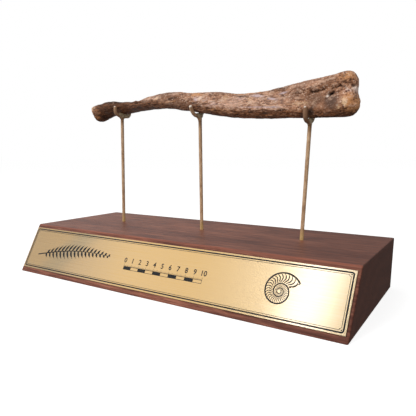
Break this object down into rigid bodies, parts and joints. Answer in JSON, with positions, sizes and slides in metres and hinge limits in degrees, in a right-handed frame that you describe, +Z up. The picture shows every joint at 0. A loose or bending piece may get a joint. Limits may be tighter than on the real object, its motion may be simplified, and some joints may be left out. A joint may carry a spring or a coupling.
{
  "type": "fossil pachycephalosaurus fibula",
  "caption": "Long brown fossil leg bone lying level in the cradles of brass armature rods over a dark wooden base with a slanted front and a brass plate.",
  "frame": {"origin": "middle of the base's underside, on the surface it stands on", "axes": "+X along the base towards the bone's wide end, -Y to the front with the plate, +Z up"},
  "size_m": [0.406, 0.1666, 0.2147],
  "materials": {
    "fossil_bone": "mottled brown permineralised bone, low satin sheen",
    "walnut": "dark satin lacquer, grain along the base",
    "plate_brass": "brushed lengthwise, filled black engraving",
    "rod_brass": "dull, lightly tarnished"
  },
  "bodies": {
    "root": {"fibula": "fossil_bone", "base": "walnut", "plaque": "plate_brass", "mount_rod_left": "rod_brass", "mount_rod_middle": "rod_brass", "mount_rod_right": "rod_brass"}
  },
  "joints": []
}
